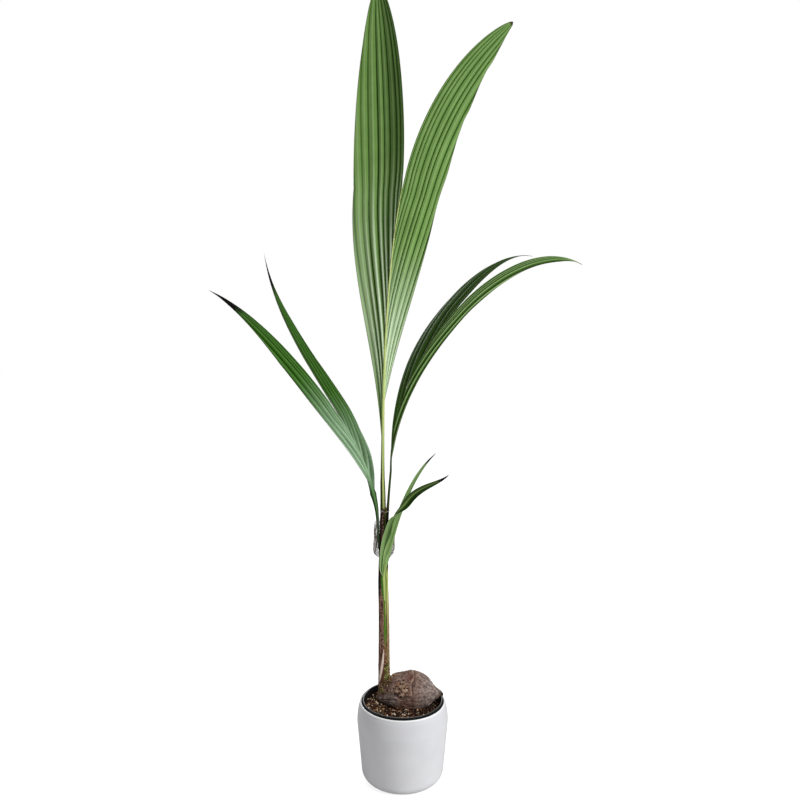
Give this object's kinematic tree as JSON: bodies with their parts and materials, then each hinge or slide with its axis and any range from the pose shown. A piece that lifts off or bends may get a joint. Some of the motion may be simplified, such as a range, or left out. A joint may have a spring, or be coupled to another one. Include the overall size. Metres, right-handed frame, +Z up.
{
  "type": "potted coconut palm",
  "caption": "Young coconut palm growing from its half-buried nut in a nursery pot, with undivided pleated leaves, standing in a glazed white cover pot.",
  "frame": {"origin": "centre of the cover pot's flat underside, where the potted plant stands", "axes": "+Z up along the stem, -Y towards the front, where the leaves show their upper faces, and +X to the right as seen from the front, along the nut from its shoot end to its tail"},
  "size_m": [0.9115, 0.3513, 1.8155],
  "materials": {
    "white_glaze": "gloss",
    "black_plastic": "satin",
    "potting_soil": "matte",
    "husk": "matte",
    "stem_sheaths": "satin",
    "dry_scale": "matte",
    "fibre_net": "matte",
    "petiole_green": "satin",
    "leaf_green": "satin"
  },
  "bodies": {
    "root": {"cover_pot": "white_glaze", "nursery_pot": "black_plastic", "soil": "potting_soil", "coconut": "husk", "stem": "stem_sheaths", "sheath_scale": "dry_scale", "fibre_sheath": "fibre_net", "petiole_tall": "petiole_green", "blade_tall_left": "leaf_green", "blade_tall_right": "leaf_green", "petiole_left": "petiole_green", "blade_left_near": "leaf_green", "blade_left_far": "leaf_green", "petiole_right": "petiole_green", "blade_right_near_base": "leaf_green", "blade_right_near_tip": "leaf_green", "blade_right_far_base": "leaf_green", "blade_right_far_tip": "leaf_green", "petiole_small": "petiole_green", "blade_small_near": "leaf_green", "blade_small_far": "leaf_green"}
  },
  "joints": []
}
